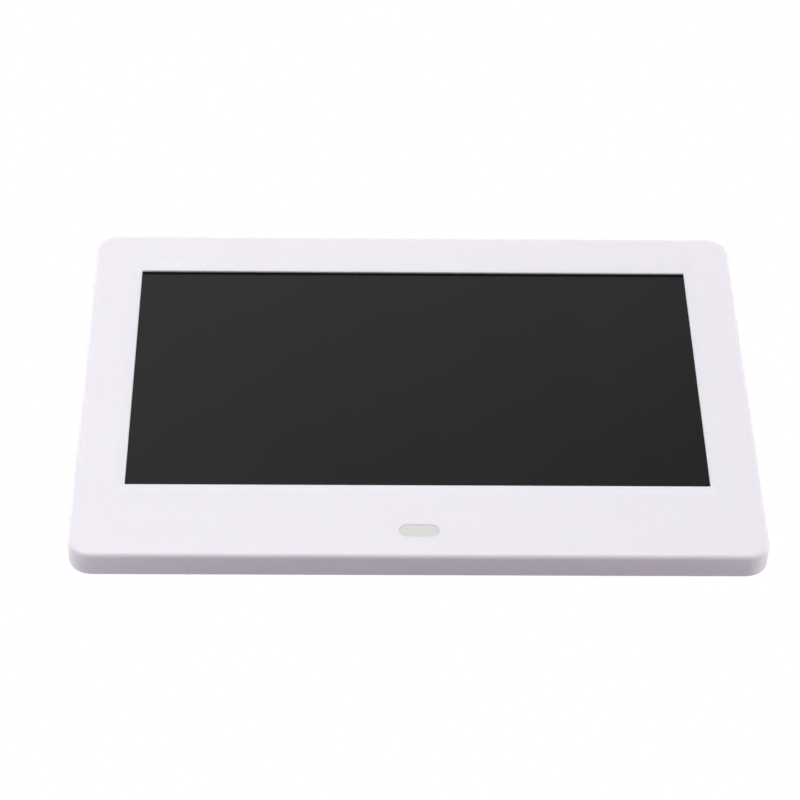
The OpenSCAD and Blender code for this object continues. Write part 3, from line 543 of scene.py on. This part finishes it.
def build_bezel():
    lo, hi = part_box("front_bezel")
    half_x, half_y = (hi.x - lo.x) / 2, (hi.y - lo.y) / 2
    glass_lo, glass_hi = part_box("lcd_polariser")
    opening = (
        (glass_hi.x - glass_lo.x) / 2 - POLARISER_MARGIN,
        (glass_hi.y - glass_lo.y) / 2 - POLARISER_MARGIN,
        (glass_hi.y + glass_lo.y) / 2,
    )
    plate_z = hi.z - FRONT_PLATE
    solid = Solid()

    def outline(inset, z):
        return solid.loop(rounded_rect(half_x - inset, half_y - inset, CORNER_R - inset), z)

    def border_loop(run, z):
        """Outline at that distance in from the border's outer edge."""
        grow = BORDER_W - run
        radius = SCREEN_CORNER_R + (BORDER_CORNER_R - SCREEN_CORNER_R) * grow / BORDER_W
        return solid.loop(rounded_rect(opening[0] + grow, opening[1] + grow, radius, (0, opening[2])), z)

    cavity_rear = outline(BEZEL_WALL, lo.z)
    sides = [cavity_rear]
    sides += [outline(inset, lo.z + depth) for inset, depth in edge_round(REAR_EDGE_R, 8)]
    sides += [outline(FRONT_EDGE_R * inset, hi.z - FRONT_EDGE_DROP * drop) for drop, inset in edge_round(1, 12)]
    face_edge = solid.skin(sides)

    # The border bends down softly from the face, falls at an even slope, and turns down at a tiny round rim
    gradient = BORDER_D / (BORDER_W - BORDER_BLEND / 2)
    lean = math.atan(gradient)
    steps = 8
    runs = [BORDER_BLEND * i / steps for i in range(steps + 1)]
    border = [(run, hi.z - gradient * run * run / (2 * BORDER_BLEND)) for run in runs]
    rim_run = BORDER_W - RIM_R
    turn_z = hi.z - gradient * (rim_run + RIM_R * math.sin(lean) - BORDER_BLEND / 2)
    rim_z = turn_z - RIM_R * math.cos(lean)
    steps = 4
    for i in range(steps + 1):
        a = lean + (math.pi / 2 - lean) * i / steps
        border.append((rim_run + RIM_R * math.sin(a), rim_z + RIM_R * math.cos(a)))
    lip_z = hi.z - BORDER_D - LIP_T
    border.append((BORDER_W, lip_z))
    border = [border_loop(run, z) for run, z in border]
    pocket_lo, pocket_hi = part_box("lcd_lower_glass")
    pocket = rounded_rect(
        (pocket_hi.x - pocket_lo.x) / 2 + GLASS_MARGIN, (pocket_hi.y - pocket_lo.y) / 2 + GLASS_MARGIN,
        0.5 * mm, (0, (pocket_hi.y + pocket_lo.y) / 2),
    )
    border.append(solid.loop(pocket, lip_z))
    border.append(solid.loop(pocket, plate_z))
    pocket_edge = solid.skin(border)
    face_hole = border[0]

    # Hole of the infrared window, its rim slightly rounded
    window_lo, window_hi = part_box("ir_window")
    window = (0, (window_lo.y + window_hi.y) / 2)
    hole_x = (window_hi.x - window_lo.x) / 2 - FLANGE_X
    hole_y = (window_hi.y - window_lo.y) / 2 - FLANGE_Y
    walls = [(grown, hi.z - depth) for grown, depth in edge_round(HOLE_RIM_R, 4)] + [(0, plate_z)]
    walls = [solid.loop(pill(hole_x + grown, hole_y + grown, window), z) for grown, z in walls]
    window_edge = solid.skin(walls)
    solid.plate([face_edge, face_hole, walls[0]])

    cavity_front = outline(BEZEL_WALL, plate_z)
    solid.skin([cavity_rear, cavity_front])
    posts = bezel_posts(solid, plate_z, lo.z, window[1])
    solid.plate([cavity_front, pocket_edge, window_edge, *posts])
    solid.piece("front_bezel_shell", "front_bezel", white.material)


build_bezel()


# ---------------------------------------------------------- small pieces


def build_window():
    lo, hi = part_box("ir_window")
    centre = (0, (lo.y + hi.y) / 2)
    flange_x, flange_y = (hi.x - lo.x) / 2, (hi.y - lo.y) / 2
    lens_x, lens_y = flange_x - FLANGE_X - LENS_GAP, flange_y - FLANGE_Y - LENS_GAP
    flange_top = lo.z + FLANGE_T
    levels = [(flange_x, flange_y, lo.z), (flange_x, flange_y, flange_top), (lens_x, lens_y, flange_top)]
    levels += [(lens_x - i, lens_y - i, hi.z - d) for i, d in reversed(edge_round(0.12 * mm))]
    solid = Solid()
    solid.closed([solid.loop(pill(x, y, centre), z) for x, y, z in levels])
    solid.piece("ir_window_lens", "ir_window", pale_grey.material)


def build_feet():
    """Round rubber feet, their soles slightly hollow."""
    lo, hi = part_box("rear_feet")
    profile = [(FOOT_R, hi.z)]
    profile += [(FOOT_R - i, lo.z + d) for i, d in reversed(edge_round(0.5 * mm))]
    profile += [(2.4 * mm, lo.z), (2.1 * mm, lo.z + 0.12 * mm), (1.6 * mm, lo.z + 0.25 * mm)]
    solid = Solid()
    for x in (lo.x + FOOT_R, hi.x - FOOT_R):
        for y in (lo.y + FOOT_R, hi.y - FOOT_R):
            solid.closed([solid.loop(circle(r, (x, y), 48), z) for r, z in profile])
    solid.piece("rear_foot_pads", "rear_feet", rubber.material)


def build_pad():
    """Rubber strip with ribs along its outer side."""
    lo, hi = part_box("stand_pad")
    ribs = 4
    rib_depth = 0.35 * mm
    crown = 0.08 * mm
    gap = 0.02 * mm
    profile = [(hi.y, lo.z), (hi.y, hi.z)]
    pitch = (hi.z - lo.z) / ribs
    for i in range(ribs):
        top = hi.z - i * pitch
        profile += [
            (lo.y + rib_depth, top - gap), (lo.y + crown, top - 0.2 * pitch),
            (lo.y, top - 0.4 * pitch), (lo.y, top - 0.6 * pitch), (lo.y + crown, top - 0.8 * pitch),
            (lo.y + rib_depth, top - pitch + gap),
        ]
    solid = Solid()
    bm = solid.bm
    end = 0.3 * mm
    stations = [(lo.x, end), (lo.x + end, 0), (hi.x - end, 0), (hi.x, end)]
    solid.closed([
        [bm.verts.new((x, y + (shrink if y < hi.y else 0), z)) for y, z in profile] for x, shrink in stations
    ])
    solid.piece("stand_grip_strip", "stand_pad", rubber.material)


def symbol_outlines(kind):
    """Closed outlines of a key's generic symbol, in millimetres round its middle. A symbol may have several."""
    if kind == "power":
        ring = arc_points(0, 0, 1.15, 125, 290, 24) + list(reversed(arc_points(0, 0, 0.85, 125, 290, 24)))
        return [ring, rectangle(-0.15, 0.15, 0.1, 1.35)]
    if kind == "menu":
        return [rectangle(-1.1, 1.1, y - 0.14, y + 0.14) for y in (-0.7, 0, 0.7)]
    if kind == "enter":
        return [circle(0.85, steps=28)]
    turn = {"right": 0, "up": 90, "left": 180, "down": 270}[kind]
    triangle = [(1.0, 0), (-0.7, 0.95), (-0.7, -0.95)]
    c, s = math.cos(math.radians(turn)), math.sin(math.radians(turn))
    return [[(x * c - y * s, x * s + y * c) for x, y in triangle]]


def build_key(node):
    """Key cap with a finger dish, the rim that keeps it in the cover and the pusher for its switch, and its
    printed symbol. It is seen from below, so the symbol is mirrored in X."""
    lo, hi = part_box(node)
    centre = ((lo.x + hi.x) / 2, (lo.y + hi.y) / 2)
    rim_x, rim_y = (hi.x - lo.x) / 2, (hi.y - lo.y) / 2
    cap_x, cap_y = rim_x - KEY_RIM_W, rim_y - KEY_RIM_W
    rim_z = lo.z + KEY_CAP_H
    rim_back = rim_z + KEY_RIM_T
    dish_z = lo.z + KEY_DISH
    dish = [(1.5 * mm, dish_z), (0.95 * mm, lo.z + 0.08 * mm)]
    dish += [(inset + 0.2 * mm, lo.z + depth) for inset, depth in edge_round(0.35 * mm)]
    levels = [(cap_x - inset, cap_y - inset, z) for inset, z in dish]
    levels += [(cap_x, cap_y, lo.z + 1 * mm), (cap_x, cap_y, rim_z)]
    levels += [(rim_x, rim_y, rim_z), (rim_x, rim_y, rim_back)]
    solid = Solid()
    loops = [solid.loop(pill(x, y, centre), z) for x, y, z in levels]
    solid.cap(loops[0])
    solid.skin(loops)
    pusher = [solid.loop(circle(PUSHER_R, centre), z) for z in (rim_back, hi.z)]
    solid.cap(solid.skin(pusher))
    solid.plate([loops[-1], pusher[0]])
    solid.piece(f"{node}_cap", node, white_key.material)

    sign = Solid()
    for outline in symbol_outlines(node.removesuffix("_key")):
        points = [(centre[0] - x * mm, centre[1] + y * mm) for x, y in outline]
        sign.closed([sign.loop(points, dish_z + 0.02 * mm), sign.loop(points, dish_z - 0.05 * mm)])
    bmesh.ops.recalc_face_normals(sign.bm, faces=sign.bm.faces)
    ride_as(sign.bm, f"{node}_symbol", body_of_node[node], ink.material)


build_window()
build_feet()
build_pad()
for node in body_of_node:
    if node.endswith("_key"):
        build_key(node)

# Straight from behind, and from each side a little from behind
BEHIND = [(0, 0, -1), (1, 0, -0.1), (-1, 0, -0.1), (0, 1, -0.1), (0, -1, -0.1)]

refined("rear_cover", "rear_cover_shell", white.material, 0.22 * mm, seen_from=BEHIND)
refined("stand_leg", "stand_leg_shell", white.material, 0.3 * mm)
refined("case_screws", "case_screw_set", steel.material, 0.06 * mm)
refined("sd_card_socket", "sd_card_shell", steel.material, 0.05 * mm)
refined("usb_socket_shell", "usb_shell", steel.material, 0.05 * mm)
refined("usb_socket_tongue", "usb_tongue", black.material, 0.08 * mm)
refined("mini_usb_socket", "mini_usb_shell", steel.material, 0.05 * mm)
refined("headphone_jack", "headphone_jack_body", black.material, 0.12 * mm)
refined("power_jack", "power_jack_body", black.material, 0.12 * mm)
refined("power_jack_pin", "power_jack_post", plated.material, 0.1 * mm)


# ----------------------------------------------------------------- stage


PURE_WHITE = (1, 1, 1, 1)
PAPER = (0.60, 0.555, 0.61)
ROOM = (0.09, 0.077, 0.086)

# The floor's painted pools of light, where it glows for everything but the camera, begin just outside the
# frame's sides
POOL_START = 0.09
POOL_FULL = 0.14

CAMERA_PLACE = (-19.69, -581.72, 552.30)
CAMERA_YAW, CAMERA_PITCH, CAMERA_ROLL = -1.5146, -42.766, 1.30
LENS = 129.825
SENSOR_W = 36


def sum_of(tree, first, second):
    """Shader with the light of both."""
    return new_node(tree, "ShaderNodeAddShader", {0: first, 1: second}).outputs[0]


def plain_to_camera(tree, lit, plain):
    """Shader that lights the object with the first and shows the camera the second."""
    is_camera = new_node(tree, "ShaderNodeLightPath").outputs["Is Camera Ray"]
    return new_node(tree, "ShaderNodeMixShader", {0: is_camera, 1: lit, 2: plain}).outputs[0]


def build_floor(pools):
    """Pale floor, seen by the camera as plain white. On its left and right it glows with a painted pool of
    light where a side lamp would leave one: (side, level). From below it is clear."""
    material = bpy.data.materials.new("floor_paper")
    material.use_nodes = True
    tree = material.node_tree
    tree.nodes.clear()
    place = new_node(tree, "ShaderNodeTexCoord")
    across = new_node(tree, "ShaderNodeSeparateXYZ", {0: place.outputs["Object"]})
    lit = new_node(tree, "ShaderNodeBsdfDiffuse", values={"Color": (*PAPER, 1)}).outputs[0]
    for side, level in pools:
        reach = new_node(
            tree, "ShaderNodeMapRange", {"Value": across.outputs["X"]},
            {"From Min": side * POOL_START, "From Max": side * POOL_FULL, "To Max": level},
        )
        # Painted pool of light: the floor glows here as if lit by a side lamp, and this glow lights the frame
        pool = new_node(tree, "ShaderNodeEmission", {"Strength": reach.outputs["Result"]})
        lit = sum_of(tree, lit, pool.outputs[0])
    seen = plain_to_camera(tree, lit, new_node(tree, "ShaderNodeEmission").outputs[0])
    clear = new_node(tree, "ShaderNodeBsdfTransparent")
    face = new_node(tree, "ShaderNodeNewGeometry")
    both = new_node(tree, "ShaderNodeMixShader", {0: face.outputs["Backfacing"], 1: seen, 2: clear.outputs[0]})
    new_node(tree, "ShaderNodeOutputMaterial", {"Surface": both.outputs[0]})

    bm = bmesh.new()
    bmesh.ops.create_grid(bm, x_segments=1, y_segments=1, size=6.0)
    mesh = bpy.data.meshes.new("floor")
    bm.to_mesh(mesh)
    bm.free()
    mesh.materials.append(material)
    floor = bpy.data.objects.new("floor", mesh)
    floor.location.z = -0.2 * mm
    scene.collection.objects.link(floor)


def build_sky(dim, panels):
    """A dim room with a few bright panels round the object: (direction, its cosine at the panel's edge, level).
    The camera sees it as plain white."""
    world = bpy.data.worlds.new("studio")
    scene.world = world
    world.use_nodes = True
    tree = world.node_tree
    tree.nodes.clear()
    place = new_node(tree, "ShaderNodeTexCoord")
    lit = new_node(tree, "ShaderNodeBackground", values={"Color": (*dim, 1)}).outputs[0]
    for towards, edge, level in panels:
        facing = new_node(
            tree, "ShaderNodeVectorMath", {0: place.outputs["Generated"]}, {1: Vector(towards).normalized()},
            operation="DOT_PRODUCT",
        )
        share = new_node(
            tree, "ShaderNodeMapRange", {"Value": facing.outputs["Value"]}, {"From Min": edge, "To Max": level}
        )
        panel = new_node(
            tree, "ShaderNodeBackground", {"Strength": share.outputs["Result"]}, {"Color": PURE_WHITE}
        )
        lit = sum_of(tree, lit, panel.outputs[0])
    plain = new_node(tree, "ShaderNodeBackground", values={"Color": PURE_WHITE})
    new_node(tree, "ShaderNodeOutputWorld", {"Surface": plain_to_camera(tree, lit, plain.outputs[0])})


def softbox(name, place, target, size, watts):
    light = bpy.data.lights.new(name, "AREA")
    light.shape = "DISK"
    light.size = size
    light.energy = watts
    lamp = bpy.data.objects.new(name, light)
    lamp.location = place
    lamp.rotation_euler = (Vector(target) - Vector(place)).to_track_quat("-Z", "Y").to_euler()
    scene.collection.objects.link(lamp)


def build_camera():
    """A long lens in front of the frame's lower edge, looking down at it."""
    place = Vector(CAMERA_PLACE) * mm
    yaw, pitch, roll = (math.radians(d) for d in (CAMERA_YAW, CAMERA_PITCH, CAMERA_ROLL))
    turn = Matrix.Rotation(yaw, 4, "Z") @ Matrix.Rotation(math.radians(90) + pitch, 4, "X")
    camera = bpy.data.objects.new("camera", bpy.data.cameras.new("camera"))
    camera.data.sensor_width = SENSOR_W
    camera.data.lens = LENS
    camera.matrix_world = Matrix.Translation(place) @ turn @ Matrix.Rotation(roll, 4, "Z")
    scene.collection.objects.link(camera)
    scene.camera = camera


build_floor([(-1, 1.15), (1, 0.75)])
build_sky(ROOM, [((-0.3, 0.954, 0), 0.55, 1.0), ((-1, 0, 0), 0.8, 1.0), ((1, 0, 0), 0.8, 4.2)])
softbox("overhead", (-0.22, 0.2, 1.5), (0, 0, 0), 1.4, 23.1)
build_camera()
scene.view_settings.view_transform = "Standard"
